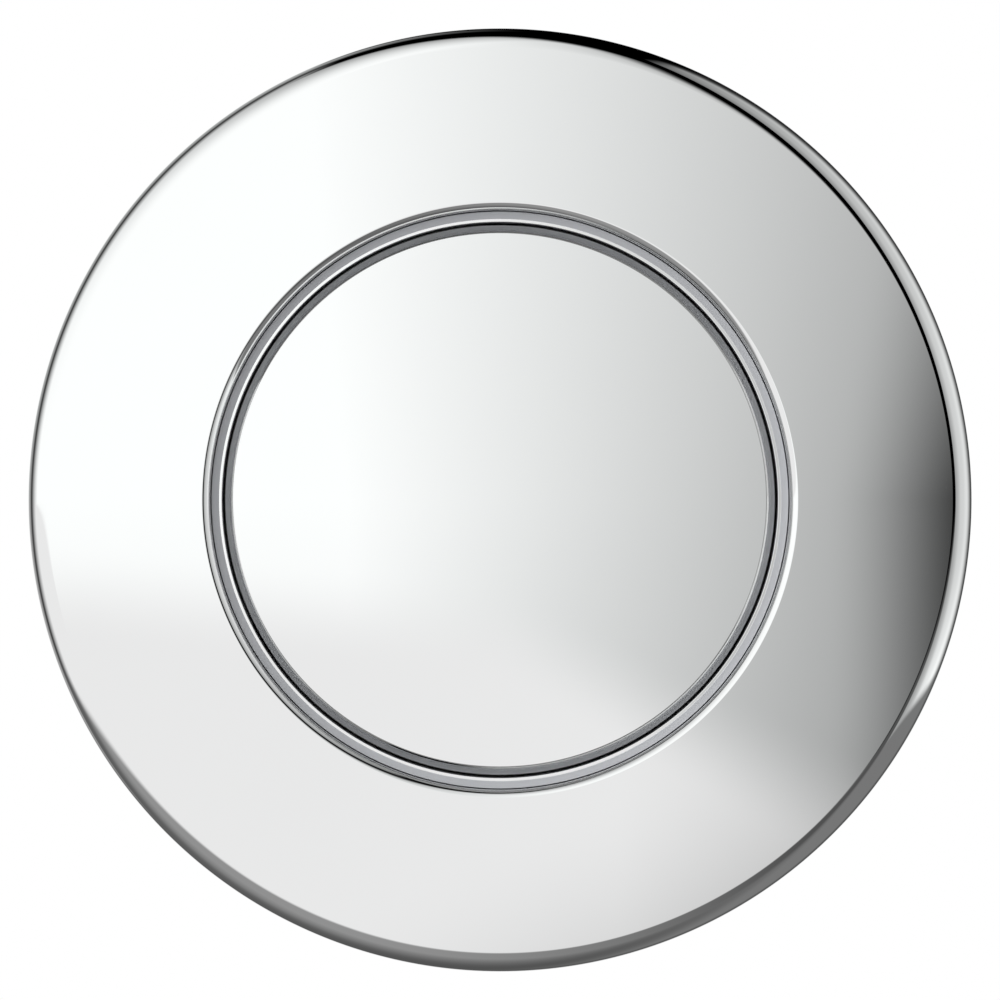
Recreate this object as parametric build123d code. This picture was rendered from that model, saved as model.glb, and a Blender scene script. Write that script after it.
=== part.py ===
from build123d import *
import os
from math import cos, radians, tan

# Round flush plate with one push button that works a cistern by air.
# A chrome cover plate and button stand on the wall; a cup with a rubber bellows sits in the wall.
#
# While it is modelled, the axis is Z with the face towards +Z, and Z = 0 is the wall.
# placed() then turns it upright: the face looks along -Y, the wall is the plane Y = 0, up is +Z.
# All sizes are in millimetres.

# Push button
BUTTON_DIAMETER = 54.7
EDGE_WIDTH = 0.85
EDGE_DEPTH = 1.4
EDGE_ROUND = 0.1
BUTTON_FACE = 2.0
BUTTON_WALL = 1.6
BUTTON_TRAVEL = 7.0
LIP_PROJECTION = 1.45
LIP_THICKNESS = 1.2
KEY_PROJECTION = 1.4
KEY_WIDTH = 4.0
KEY_ANGLES = (90, 210, 330)
POST_RADIUS = 2.4
POST_LENGTH = 2.6
POST_CIRCLE_RADIUS = 18.0
POST_ANGLES = (30, 150, 270)

# Design ring between button and plate
BUTTON_GAP = 0.38
RING_WIDTH = 1.06
RING_JOINT = 0.05
RING_DROP = 2.0
RING_SLOPE = 8.0
RING_LAND = 0.31
RING_EDGE = 0.04
RING_FLANGE = 1.0

# Cover plate
FACE_WIDTH = 18.21
PLATE_DEPTH = 11.0
PLATE_WALL = 1.8
RIM_ROUND = 2.1
OPENING_ROUND = 0.74
COLLAR_WALL = 1.6
COLLAR_DEPTH = 3.0
BOSS_RADIUS = 2.6
BOSS_OFFSET = 5.4
BOSS_ANGLES = (45, 135, 225, 315)
RIB_THICKNESS = 1.2
RIB_COUNT = 8
LUG_WIDTH = 10.0
LUG_PROJECTION = 1.0
LUG_THICKNESS = 1.0
LUG_HEIGHT = 4.4
GASKET_THICKNESS = 1.0
GASKET_INSET = 0.3

# Button guide and stop cushion
SLIDE_CLEARANCE = 0.3
GUIDE_WALL = 1.8
GUIDE_FLANGE = 1.8
GUIDE_STEP_BACK = 0.1
EAR_RADIUS = 2.9
CUSHION_THICKNESS = 0.8
CUSHION_FIT = 0.05
KEY_CLEARANCE = 0.3
END_CLEARANCE = 0.2
GUIDE_END_GAP = 0.4

# Carrier, rod and pusher behind the button
CARRIER_THICKNESS = 1.6
CARRIER_CLEARANCE = 0.35
HUB_RADIUS = 6.5
HUB_LENGTH = 5.8
WEB_COUNT = 6
WEB_THICKNESS = 1.4
WEB_DEPTH = 2.2
WEB_REACH = 7.5
ROD_RADIUS = 3.0
ROD_ENGAGEMENT = 5.0
ROD_STICK_OUT = 2.0
LOCKNUT_FLATS = 10.0
LOCKNUT_HEIGHT = 3.0
PUSHER_RADIUS = 14.0
PUSHER_DISC = 1.5
PUSHER_HUB_RADIUS = 5.0
SOCKET_DEPTH = 1.5
SOCKET_FLOOR = 2.0

# Pump housing, the cup in the wall
CUP_CLEARANCE = 0.6
CUP_WALL = 1.8
CUP_FLOOR = 2.0
CUP_FLANGE_WIDTH = 2.5
CUP_FLANGE = 1.4
STOP_STEP = 1.9
CUP_ROUND = 1.2
CRUSH_RIB_RADIUS = 0.8
CRUSH_RIB_COUNT = 6
FLOOR_RIB_COUNT = 6
FLOOR_RIB_THICKNESS = 1.4
FLOOR_RIB_HEIGHT = 1.6
FLOOR_RIB_START = 10.0

# Bellows, its clamp ring and the return spring
BELLOWS_HEIGHT = 16.0
BELLOWS_FOLD_DEPTH = 2.8
BELLOWS_WALL = 1.1
BELLOWS_TOP = 1.5
BELLOWS_FOOT = 1.8
BELLOWS_FOOT_LAND = 3.2
BELLOWS_FOLDS = 3
BELLOWS_FOLD_ROUND = 0.5
CLAMP_BITE = 2.7
CLAMP_FIT = 0.2
CLAMP_RIM = 2.4
CLAMP_LAND = 2.0
CLAMP_PLAY = 0.3
CLAMP_THICKNESS = 1.8
CLAMP_SCREW_ANGLES = (90, 210, 330)
CLAMP_BOSS_RADIUS = 2.5
CLAMP_BOSS_LENGTH = 3.0
SPRING_ROOM = 3.1
SPRING_WIRE = 1.0
SPRING_TURNS = 4.5

# Air outlet in the middle of the cup's floor
OUTLET_RADIUS = 5.0
OUTLET_CLEARANCE = 0.1
OUTLET_FLANGE_RADIUS = 7.5
OUTLET_FLANGE = 1.5
OUTLET_THREAD_STICK_OUT = 1.2
SEAL_THICKNESS = 1.2
OUTLET_NUT_FLATS = 15.0
OUTLET_NUT_HEIGHT = 4.0
NUT_WASHER_RADIUS = 8.6
NUT_WASHER_HEIGHT = 0.8
SPIGOT_RADIUS = 2.1
SPIGOT_LENGTH = 13.0
SPIGOT_TIP = 0.5
AIR_BORE_RADIUS = 1.3

# Mounting frame, its screws and the clips
FRAME_THICKNESS = 3.0
FRAME_MARGIN = 1.9
FRAME_FIT = 0.2
FRAME_ROUND = 0.4
FIXING_MARGIN = 2.2
SLOT_LENGTH = 6.0
SLOT_PLAY = 0.3
WALL_SCREW_ANGLES = (0, 180)
HOUSING_SCREW_ANGLES = (90, 270)
TAB_INSET = 2.9
TAB_THICKNESS = 1.2
TAB_WIDTH = 10.0
TAB_HEIGHT = 3.6
CLIP_ANGLES = BOSS_ANGLES
CLIP_WIDTH = 8.0
CLIP_SHEET = 0.4
CLIP_FIT = 0.08
CLIP_BULGE = 2.3

# Screws: shank radius, head radius, head height; the cross recess is a share of its head
SMALL_SHANK, SMALL_HEAD, SMALL_HEAD_HEIGHT = 1.1, 2.2, 1.4
HOUSING_SHANK, HOUSING_HEAD, HOUSING_HEAD_HEIGHT = 1.25, 2.8, 1.7
WALL_SHANK, WALL_HEAD, WALL_HEAD_HEIGHT = 1.75, 3.2, 2.1
WALL_NECK_RELIEF = 0.45
WALL_SCREW_LENGTH = 24.0
WALL_SCREW_TIP = 3.0
SCREW_FIT = 0.05
SCREW_BITE = 4.0
TIP_ROOM = 0.3
RECESS_LENGTH, RECESS_WIDTH, RECESS_DEPTH = 1.2, 0.3, 0.6

# Radii that follow, from the button outwards
BUTTON_R = BUTTON_DIAMETER / 2
RING_BORE_R = BUTTON_R + BUTTON_GAP
RING_R = RING_BORE_R + RING_WIDTH
OPENING_R = RING_R + RING_JOINT
COLLAR_R = OPENING_R + COLLAR_WALL
PLATE_R = OPENING_R + FACE_WIDTH
SKIRT_R = PLATE_R - PLATE_WALL
BOSS_CIRCLE_R = COLLAR_R + BOSS_OFFSET
CAP_BORE_R = BUTTON_R - BUTTON_WALL
LIP_R = BUTTON_R + LIP_PROJECTION
GUIDE_MOUTH_R = RING_BORE_R + GUIDE_STEP_BACK
GUIDE_BORE_R = LIP_R + SLIDE_CLEARANCE
GUIDE_R = GUIDE_BORE_R + GUIDE_WALL
CUP_BORE_R = GUIDE_R + CUP_CLEARANCE
CUP_R = CUP_BORE_R + CUP_WALL
CUP_FLANGE_R = CUP_R + CUP_FLANGE_WIDTH
PUMP_BORE_R = LIP_R - STOP_STEP
PUMP_R = PUMP_BORE_R + CUP_WALL
FRAME_BORE_R = CUP_R + FRAME_FIT
FRAME_SEAT_R = CUP_FLANGE_R + FRAME_FIT
FRAME_R = SKIRT_R - FRAME_MARGIN
FIXING_R = CUP_FLANGE_R + FIXING_MARGIN
TAB_R = FRAME_R - TAB_INSET
CLAMP_OUTER_R = PUMP_BORE_R - CLAMP_FIT
CLAMP_SCREW_R = CLAMP_OUTER_R - CLAMP_RIM
CLAMP_R = CLAMP_SCREW_R - CLAMP_LAND
FOOT_R = CLAMP_R - CLAMP_PLAY
CREST_R = FOOT_R - BELLOWS_FOOT_LAND
VALLEY_R = CREST_R - BELLOWS_FOLD_DEPTH
SPRING_R = VALLEY_R - BELLOWS_WALL - SPRING_ROOM - SPRING_WIRE / 2

# Heights that follow, from the face backwards
FACE_Z = PLATE_DEPTH
UNDER_Z = FACE_Z - PLATE_WALL
COLLAR_Z = FACE_Z - COLLAR_DEPTH
RING_BACK_Z = COLLAR_Z - RING_FLANGE
SHOULDER_Z = RING_BACK_Z - GUIDE_FLANGE
LIP_TOP_Z = SHOULDER_Z - CUSHION_THICKNESS
LIP_Z = LIP_TOP_Z - LIP_THICKNESS
STEP_Z = LIP_Z - BUTTON_TRAVEL - END_CLEARANCE
GUIDE_END_Z = STEP_Z + GUIDE_END_GAP
CAP_UNDER_Z = FACE_Z - BUTTON_FACE
CARRIER_TOP_Z = CAP_UNDER_Z - POST_LENGTH
CARRIER_Z = CARRIER_TOP_Z - CARRIER_THICKNESS
HUB_Z = CARRIER_Z - HUB_LENGTH
ROD_TOP_Z = HUB_Z + ROD_ENGAGEMENT
LOCKNUT_Z = HUB_Z - LOCKNUT_HEIGHT
ROD_Z = LOCKNUT_Z - ROD_STICK_OUT
PUSHER_TOP_Z = ROD_Z + SOCKET_DEPTH
PUSHER_Z = ROD_Z - SOCKET_FLOOR
FLOOR_Z = PUSHER_Z - BELLOWS_HEIGHT
CUP_Z = FLOOR_Z - CUP_FLOOR
FOOT_TOP_Z = FLOOR_Z + BELLOWS_FOOT
CLAMP_TOP_Z = FOOT_TOP_Z + CLAMP_THICKNESS
OUTLET_FLANGE_Z = FLOOR_Z + SEAL_THICKNESS
OUTLET_NUT_Z = CUP_Z - OUTLET_NUT_HEIGHT
THREAD_Z = OUTLET_NUT_Z - OUTLET_THREAD_STICK_OUT


def lathe(*corners):
    """Turns a closed outline of (radius, height) corners; a third number rounds that corner."""
    points = [corner[:2] for corner in corners]
    rounds = [corner[2] if len(corner) > 2 else 0 for corner in corners]
    outline = FilletPolyline(*points, radius=rounds, close=True)
    return revolve(Plane.XZ * make_face(outline), Axis.Z)


def tube(inner, outer, low, high):
    """Plain ring between two radii and two heights."""
    return lathe((inner, low), (outer, low), (outer, high), (inner, high))


def rod(radius, low, high):
    """Plain round bar on the axis between two heights."""
    return Pos(0, 0, low) * Cylinder(radius, high - low, align=(Align.CENTER, Align.CENTER, Align.MIN))


def block(inner, outer, width, low, high):
    """Box that runs outwards along +X between two radii and two heights."""
    centre = Pos((inner + outer) / 2, 0, (low + high) / 2)
    return centre * Box(outer - inner, width, high - low)


def around(piece, angles):
    """Copies of a piece turned round the axis by each angle."""
    return [Rot(0, 0, angle) * piece for angle in angles]


def on_circle(piece, radius, angles):
    """Copies of a piece set at a radius, one for each angle."""
    return around(Pos(radius, 0, 0) * piece, angles)


def evenly(count, start=0.0):
    """Angles that share a full turn equally."""
    return [start + 360 * index / count for index in range(count)]


def hexagon(flats, low, high):
    """Hexagon bar with its corners turned off at both ends."""
    bar = Pos(0, 0, low) * extrude(RegularPolygon(flats / 2, 6, major_radius=False), high - low)
    corner = flats / 2 / cos(radians(30))
    slope = (corner - flats / 2) * tan(radians(30))
    ends = lathe(
        (0, low), (flats / 2, low), (corner, low + slope),
        (corner, high - slope), (flats / 2, high), (0, high),
    )
    return bar & ends


def screw_head(radius, height):
    """Pan head with a cross recess; its underside is at height 0."""
    head = lathe((0, 0), (radius, 0), (radius, height, height / 2), (0, height))
    half = radius * RECESS_LENGTH / 2
    arm = block(-half, half, radius * RECESS_WIDTH, height * (1 - RECESS_DEPTH), height)
    cross = arm + Rot(0, 0, 90) * arm
    return head - cross


def pan_screw(shank, length, head, height):
    """Screw whose head stands on height 0 and whose shank runs down to -length."""
    tip = shank / 2
    body = lathe((0, -length), (shank - tip, -length), (shank, tip - length), (shank, 0), (0, 0))
    return body + screw_head(head, height)


def make_cover_plate():
    """Chrome cover: flat face, rounded rim, collar, screw bosses, ribs and clip lugs in one casting."""
    cover = lathe(
        (OPENING_R, COLLAR_Z), (COLLAR_R, COLLAR_Z), (COLLAR_R, UNDER_Z),
        (SKIRT_R, UNDER_Z), (SKIRT_R, GASKET_THICKNESS), (PLATE_R, GASKET_THICKNESS),
        (PLATE_R, FACE_Z, RIM_ROUND), (OPENING_R, FACE_Z, OPENING_ROUND),
    )
    in_collar = COLLAR_R - COLLAR_WALL / 2
    in_skirt = PLATE_R - PLATE_WALL / 2
    rib = block(in_collar, in_skirt, RIB_THICKNESS, COLLAR_Z, UNDER_Z)
    lug = block(SKIRT_R - LUG_PROJECTION, in_skirt, LUG_WIDTH, LUG_HEIGHT, LUG_HEIGHT + LUG_THICKNESS)
    boss = rod(BOSS_RADIUS, RING_BACK_Z, UNDER_Z)
    cover += around(rib, evenly(RIB_COUNT, 180 / RIB_COUNT))
    cover += around(lug, CLIP_ANGLES)
    cover += on_circle(boss, BOSS_CIRCLE_R, BOSS_ANGLES)
    hole = rod(SMALL_SHANK + SCREW_FIT, RING_BACK_Z, guide_screw_tip() + TIP_ROOM)
    return cover - on_circle(hole, BOSS_CIRCLE_R, BOSS_ANGLES)


def guide_screw_tip():
    """Height that the guide screws reach inside the plate's bosses."""
    return UNDER_Z + PLATE_WALL / 2 - TIP_ROOM * 2


def make_guide_screws():
    """Four screws, put in from behind, that hold the guide and the design ring on the plate."""
    screw = pan_screw(SMALL_SHANK, guide_screw_tip() - SHOULDER_Z, SMALL_HEAD, SMALL_HEAD_HEIGHT)
    from_behind = Pos(0, 0, SHOULDER_Z) * Rot(180, 0, 0) * screw
    return on_circle(from_behind, BOSS_CIRCLE_R, BOSS_ANGLES)


def make_design_ring():
    """Trim ring: a flat inner land, a face that leans towards the axis, a flange under the collar."""
    outer_z = FACE_Z - RING_DROP
    land_r = RING_BORE_R + RING_LAND
    land_z = outer_z - (RING_R - land_r) * tan(radians(RING_SLOPE))
    return lathe(
        (RING_BORE_R, RING_BACK_Z), (COLLAR_R, RING_BACK_Z), (COLLAR_R, COLLAR_Z),
        (RING_R, COLLAR_Z), (RING_R, outer_z, RING_EDGE), (land_r, land_z), (RING_BORE_R, land_z, RING_EDGE),
    )


def make_push_button():
    """Button cap with a steep coned edge, a lip that stops it, keys on the lip and screw posts."""
    cap = lathe(
        (0, CAP_UNDER_Z), (CAP_BORE_R, CAP_UNDER_Z), (CAP_BORE_R, LIP_Z), (LIP_R, LIP_Z),
        (LIP_R, LIP_TOP_Z), (BUTTON_R, LIP_TOP_Z), (BUTTON_R, FACE_Z - EDGE_DEPTH),
        (BUTTON_R - EDGE_WIDTH, FACE_Z, EDGE_ROUND), (0, FACE_Z),
    )
    key = block(BUTTON_R, LIP_R + KEY_PROJECTION, KEY_WIDTH, LIP_Z, LIP_TOP_Z)
    post = rod(POST_RADIUS, CARRIER_TOP_Z, CAP_UNDER_Z)
    cap += around(key, KEY_ANGLES)
    cap += on_circle(post, POST_CIRCLE_RADIUS, POST_ANGLES)
    hole = rod(SMALL_SHANK + SCREW_FIT, CARRIER_TOP_Z, carrier_screw_tip() + TIP_ROOM)
    return cap - on_circle(hole, POST_CIRCLE_RADIUS, POST_ANGLES)


def carrier_screw_tip():
    """Height that the carrier's screws reach inside the cap's posts."""
    return CAP_UNDER_Z + BUTTON_FACE / 2 - TIP_ROOM


def make_carrier_screws():
    """Three screws, put in from behind, that hold the carrier in the cap."""
    screw = pan_screw(SMALL_SHANK, carrier_screw_tip() - CARRIER_Z, SMALL_HEAD, SMALL_HEAD_HEIGHT)
    from_behind = Pos(0, 0, CARRIER_Z) * Rot(180, 0, 0) * screw
    return on_circle(from_behind, POST_CIRCLE_RADIUS, POST_ANGLES)


def make_button_carrier():
    """Disc inside the cap with a webbed hub for the push rod."""
    carrier = rod(CAP_BORE_R - CARRIER_CLEARANCE, CARRIER_Z, CARRIER_TOP_Z)
    carrier += rod(HUB_RADIUS, HUB_Z, CARRIER_Z)
    web = block(0, HUB_RADIUS + WEB_REACH, WEB_THICKNESS, CARRIER_Z - WEB_DEPTH, CARRIER_Z)
    carrier += around(web, evenly(WEB_COUNT))
    carrier -= rod(ROD_RADIUS + SCREW_FIT, HUB_Z - WEB_DEPTH, ROD_TOP_Z)
    hole = rod(SMALL_SHANK + SCREW_FIT, CARRIER_Z, CARRIER_TOP_Z)
    return carrier - on_circle(hole, POST_CIRCLE_RADIUS, POST_ANGLES)


def make_push_rod():
    """Threaded rod in the hub; turning it sets how soon the bellows is pressed."""
    tip = ROD_RADIUS / 6
    return lathe(
        (0, ROD_Z), (ROD_RADIUS - tip, ROD_Z), (ROD_RADIUS, ROD_Z + tip),
        (ROD_RADIUS, ROD_TOP_Z - tip), (ROD_RADIUS - tip, ROD_TOP_Z), (0, ROD_TOP_Z),
    )


def make_rod_locknut():
    """Hexagon nut that locks the rod against the hub."""
    return hexagon(LOCKNUT_FLATS, LOCKNUT_Z, HUB_Z) - rod(ROD_RADIUS + SCREW_FIT, LOCKNUT_Z, HUB_Z)


def make_bellows_pusher():
    """Disc with a socket for the rod's end; its rounded edge lies on the bellows."""
    disc_top = PUSHER_Z + PUSHER_DISC
    edge = PUSHER_DISC / 3
    pusher = lathe(
        (0, PUSHER_Z), (PUSHER_RADIUS, PUSHER_Z, edge), (PUSHER_RADIUS, disc_top, edge),
        (PUSHER_HUB_RADIUS, disc_top), (PUSHER_HUB_RADIUS, PUSHER_TOP_Z), (0, PUSHER_TOP_Z),
    )
    return pusher - rod(ROD_RADIUS + SCREW_FIT, ROD_Z, PUSHER_TOP_Z)


def make_button_guide():
    """Bush in which the button slides: a flange with four ears and a tube with three key slots."""
    guide = tube(GUIDE_MOUTH_R, GUIDE_R, GUIDE_END_Z, RING_BACK_Z)
    guide += tube(GUIDE_MOUTH_R, COLLAR_R + EAR_RADIUS, SHOULDER_Z, RING_BACK_Z)
    ear = rod(EAR_RADIUS, SHOULDER_Z, RING_BACK_Z)
    ear += block(-BOSS_OFFSET, 0, EAR_RADIUS * 2, SHOULDER_Z, RING_BACK_Z)
    guide += on_circle(ear, BOSS_CIRCLE_R, BOSS_ANGLES)
    guide -= rod(GUIDE_BORE_R, GUIDE_END_Z, SHOULDER_Z)
    guide -= rod(GUIDE_MOUTH_R, SHOULDER_Z, RING_BACK_Z)
    slot = block(BUTTON_R, GUIDE_R + KEY_CLEARANCE, KEY_WIDTH + KEY_CLEARANCE * 2, GUIDE_END_Z, SHOULDER_Z)
    guide -= around(slot, KEY_ANGLES)
    hole = rod(SMALL_SHANK + SCREW_FIT, SHOULDER_Z, RING_BACK_Z)
    return guide - on_circle(hole, BOSS_CIRCLE_R, BOSS_ANGLES)


def make_stop_cushion():
    """Rubber ring under the guide's shoulder, which the button's lip rests against."""
    return tube(GUIDE_MOUTH_R, GUIDE_BORE_R - CUSHION_FIT, LIP_TOP_Z, SHOULDER_Z)


def make_pump_housing():
    """Stepped cup: the wide part takes the guide, the narrow part takes the bellows."""
    step_under = STEP_Z - CUP_WALL
    cup = lathe(
        (0, CUP_Z), (PUMP_R, CUP_Z, CUP_ROUND), (PUMP_R, step_under), (CUP_R, step_under, CUP_ROUND),
        (CUP_R, FRAME_THICKNESS - CUP_FLANGE), (CUP_FLANGE_R, FRAME_THICKNESS - CUP_FLANGE),
        (CUP_FLANGE_R, FRAME_THICKNESS), (CUP_BORE_R, FRAME_THICKNESS),
        (CUP_BORE_R, STEP_Z), (PUMP_BORE_R, STEP_Z), (PUMP_BORE_R, FLOOR_Z), (0, FLOOR_Z),
    )
    crush_rib = rod(CRUSH_RIB_RADIUS, CUP_Z + CUP_ROUND, step_under)
    rib_low = CUP_Z - FLOOR_RIB_HEIGHT
    floor_rib = block(FLOOR_RIB_START, PUMP_R - CUP_ROUND, FLOOR_RIB_THICKNESS, rib_low, CUP_Z)
    boss = rod(CLAMP_BOSS_RADIUS, CUP_Z - CLAMP_BOSS_LENGTH, CUP_Z)
    cup += on_circle(crush_rib, PUMP_R, evenly(CRUSH_RIB_COUNT))
    cup += around(floor_rib, evenly(FLOOR_RIB_COUNT))
    cup += on_circle(boss, CLAMP_SCREW_R, CLAMP_SCREW_ANGLES)
    hole = rod(SMALL_SHANK + SCREW_FIT, clamp_screw_tip() - TIP_ROOM, FLOOR_Z)
    cup -= on_circle(hole, CLAMP_SCREW_R, CLAMP_SCREW_ANGLES)
    return cup - rod(OUTLET_RADIUS + OUTLET_CLEARANCE, CUP_Z, FLOOR_Z)


def clamp_screw_tip():
    """Height that the clamp screws reach inside the bosses behind the cup's floor."""
    return FLOOR_Z - SCREW_BITE


def bellows_folds(shrink):
    """Corners of the folds from foot to top, with crests and valleys by turns."""
    low = FOOT_TOP_Z
    high = PUSHER_Z - BELLOWS_TOP
    steps = BELLOWS_FOLDS * 2
    corners = []
    for index in range(steps + 1):
        radius = CREST_R if index % 2 else VALLEY_R
        height = low + (high - low) * index / steps
        corners.append((radius - shrink, height, 0 if index in (0, steps) else BELLOWS_FOLD_ROUND))
    return corners


def make_bellows():
    """Rubber bellows, open at its foot and closed at its top, with one wall thickness in the folds."""
    inner_r = VALLEY_R - BELLOWS_WALL
    inner_folds = list(reversed(bellows_folds(BELLOWS_WALL)))
    return lathe(
        (inner_r, FLOOR_Z), (FOOT_R, FLOOR_Z), (FOOT_R, FOOT_TOP_Z),
        *bellows_folds(0), (VALLEY_R, PUSHER_Z), (0, PUSHER_Z), (0, PUSHER_Z - BELLOWS_TOP),
        *inner_folds,
    )


def make_bellows_clamp_ring():
    """Ring with a step that presses the foot of the bellows on the cup's floor."""
    ring = lathe(
        (CLAMP_R, FLOOR_Z), (CLAMP_OUTER_R, FLOOR_Z), (CLAMP_OUTER_R, CLAMP_TOP_Z),
        (FOOT_R - CLAMP_BITE, CLAMP_TOP_Z), (FOOT_R - CLAMP_BITE, FOOT_TOP_Z),
        (CLAMP_R, FOOT_TOP_Z),
    )
    hole = rod(SMALL_SHANK + SCREW_FIT, FLOOR_Z, CLAMP_TOP_Z)
    return ring - on_circle(hole, CLAMP_SCREW_R, CLAMP_SCREW_ANGLES)


def make_clamp_screws():
    """Three screws that hold the clamp ring on the cup's floor."""
    screw = pan_screw(SMALL_SHANK, CLAMP_TOP_Z - clamp_screw_tip(), SMALL_HEAD, SMALL_HEAD_HEIGHT)
    return on_circle(Pos(0, 0, CLAMP_TOP_Z) * screw, CLAMP_SCREW_R, CLAMP_SCREW_ANGLES)


def make_return_spring():
    """Coil spring between the cup's floor and the top of the bellows."""
    wire_r = SPRING_WIRE / 2
    height = BELLOWS_HEIGHT - BELLOWS_TOP - SPRING_WIRE
    path = Helix(height / SPRING_TURNS, height, SPRING_R, center=(0, 0, FLOOR_Z + wire_r))
    section = Plane(path @ 0, z_dir=path % 0) * Circle(wire_r)
    return sweep(section, path=path, is_frenet=True)


def make_hose_spigot():
    """Turned air outlet: flange inside the cup, thread through its floor, smooth spigot for a hose."""
    end_z = THREAD_Z - SPIGOT_LENGTH
    flange_top = OUTLET_FLANGE_Z + OUTLET_FLANGE
    return lathe(
        (AIR_BORE_RADIUS, end_z), (SPIGOT_RADIUS - SPIGOT_TIP, end_z), (SPIGOT_RADIUS, end_z + SPIGOT_TIP),
        (SPIGOT_RADIUS, THREAD_Z), (OUTLET_RADIUS - SPIGOT_TIP, THREAD_Z),
        (OUTLET_RADIUS, THREAD_Z + SPIGOT_TIP), (OUTLET_RADIUS, OUTLET_FLANGE_Z),
        (OUTLET_FLANGE_RADIUS, OUTLET_FLANGE_Z),
        (OUTLET_FLANGE_RADIUS, flange_top, SPIGOT_TIP), (AIR_BORE_RADIUS, flange_top),
    )


def make_spigot_seal():
    """Rubber washer between the outlet's flange and the cup's floor."""
    return tube(OUTLET_RADIUS + OUTLET_CLEARANCE, OUTLET_FLANGE_RADIUS, FLOOR_Z, OUTLET_FLANGE_Z)


def make_spigot_nut():
    """Hexagon nut with a washer face that pulls the outlet tight from behind."""
    nut = hexagon(OUTLET_NUT_FLATS, OUTLET_NUT_Z, CUP_Z)
    nut += rod(NUT_WASHER_RADIUS, CUP_Z - NUT_WASHER_HEIGHT, CUP_Z)
    return nut - rod(OUTLET_RADIUS + OUTLET_CLEARANCE, OUTLET_NUT_Z, CUP_Z)


def make_mounting_frame():
    """Flat ring on the wall: seat for the cup's flange, screw slots and tabs for the clips."""
    frame = lathe(
        (FRAME_BORE_R, 0), (FRAME_R, 0), (FRAME_R, FRAME_THICKNESS, FRAME_ROUND),
        (FRAME_SEAT_R, FRAME_THICKNESS), (FRAME_SEAT_R, FRAME_THICKNESS - CUP_FLANGE),
        (FRAME_BORE_R, FRAME_THICKNESS - CUP_FLANGE),
    )
    tab = block(TAB_R, TAB_R + TAB_THICKNESS, TAB_WIDTH, 0, FRAME_THICKNESS + TAB_HEIGHT)
    frame += around(tab, CLIP_ANGLES)
    slot_width = (WALL_SHANK + SLOT_PLAY) * 2
    slot = extrude(SlotOverall(SLOT_LENGTH, slot_width, rotation=90), FRAME_THICKNESS)
    frame -= on_circle(slot, FIXING_R, WALL_SCREW_ANGLES)
    hole = rod(HOUSING_SHANK + SCREW_FIT, 0, FRAME_THICKNESS)
    return frame - on_circle(hole, FIXING_R, HOUSING_SCREW_ANGLES)


def make_wall_screws():
    """Two wall screws through the frame's slots; behind the wall plane their shanks are full size."""
    neck = WALL_SHANK - WALL_NECK_RELIEF
    end = -WALL_SCREW_LENGTH - WALL_SCREW_TIP
    shank = lathe(
        (0, end), (WALL_SHANK, -WALL_SCREW_LENGTH), (WALL_SHANK, 0), (neck, 0), (neck, FRAME_THICKNESS),
        (0, FRAME_THICKNESS),
    )
    screw = shank + Pos(0, 0, FRAME_THICKNESS) * screw_head(WALL_HEAD, WALL_HEAD_HEIGHT)
    return on_circle(screw, FIXING_R, WALL_SCREW_ANGLES)


def make_housing_screws():
    """Two screws whose heads hold the cup's flange in the frame."""
    screw = pan_screw(HOUSING_SHANK, FRAME_THICKNESS - TIP_ROOM, HOUSING_HEAD, HOUSING_HEAD_HEIGHT)
    return on_circle(Pos(0, 0, FRAME_THICKNESS) * screw, FIXING_R, HOUSING_SCREW_ANGLES)


def make_spring_clips():
    """Four bent strips over the frame's tabs; the bulge snaps in front of the plate's lugs."""
    half = CLIP_SHEET / 2
    inner_r = TAB_R - CLIP_FIT - half
    outer_r = TAB_R + TAB_THICKNESS + CLIP_FIT + half
    top_z = FRAME_THICKNESS + TAB_HEIGHT + CLIP_FIT + half
    bulge_z = LUG_HEIGHT + LUG_THICKNESS + half
    line = FilletPolyline(
        (inner_r, FRAME_THICKNESS + half), (inner_r, top_z), (outer_r, top_z),
        (outer_r + CLIP_BULGE, bulge_z), (outer_r, LUG_HEIGHT - LUG_THICKNESS), radius=CLIP_SHEET,
    )
    strip = extrude(Plane.XZ * trace(line, CLIP_SHEET), CLIP_WIDTH / 2, both=True)
    return around(strip, CLIP_ANGLES)


def make_wall_gasket():
    """Foam ring between the plate's rim and the wall."""
    return tube(SKIRT_R - GASKET_INSET, PLATE_R - GASKET_INSET, 0, GASKET_THICKNESS)


def placed(piece):
    """Turns a finished piece, or a list of like pieces, from the modelling frame to its place."""
    solids = piece if isinstance(piece, list) else [piece]
    turned = [solid for copy in solids for solid in (Rot(90, 0, 0) * copy).solids()]
    return turned[0] if len(turned) == 1 else Compound(turned)


NODES = {
    "cover_plate": make_cover_plate,
    "design_ring": make_design_ring,
    "push_button": make_push_button,
    "button_guide": make_button_guide,
    "guide_screws": make_guide_screws,
    "stop_cushion": make_stop_cushion,
    "button_carrier": make_button_carrier,
    "carrier_screws": make_carrier_screws,
    "push_rod": make_push_rod,
    "rod_locknut": make_rod_locknut,
    "bellows_pusher": make_bellows_pusher,
    "bellows": make_bellows,
    "return_spring": make_return_spring,
    "bellows_clamp_ring": make_bellows_clamp_ring,
    "clamp_screws": make_clamp_screws,
    "pump_housing": make_pump_housing,
    "housing_screws": make_housing_screws,
    "mounting_frame": make_mounting_frame,
    "wall_screws": make_wall_screws,
    "spring_clips": make_spring_clips,
    "wall_gasket": make_wall_gasket,
    "hose_spigot": make_hose_spigot,
    "spigot_seal": make_spigot_seal,
    "spigot_nut": make_spigot_nut,
}

os.makedirs("parts", exist_ok=True)
for node, make in NODES.items():
    export_step(placed(make()), f"parts/{node}.step")
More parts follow.
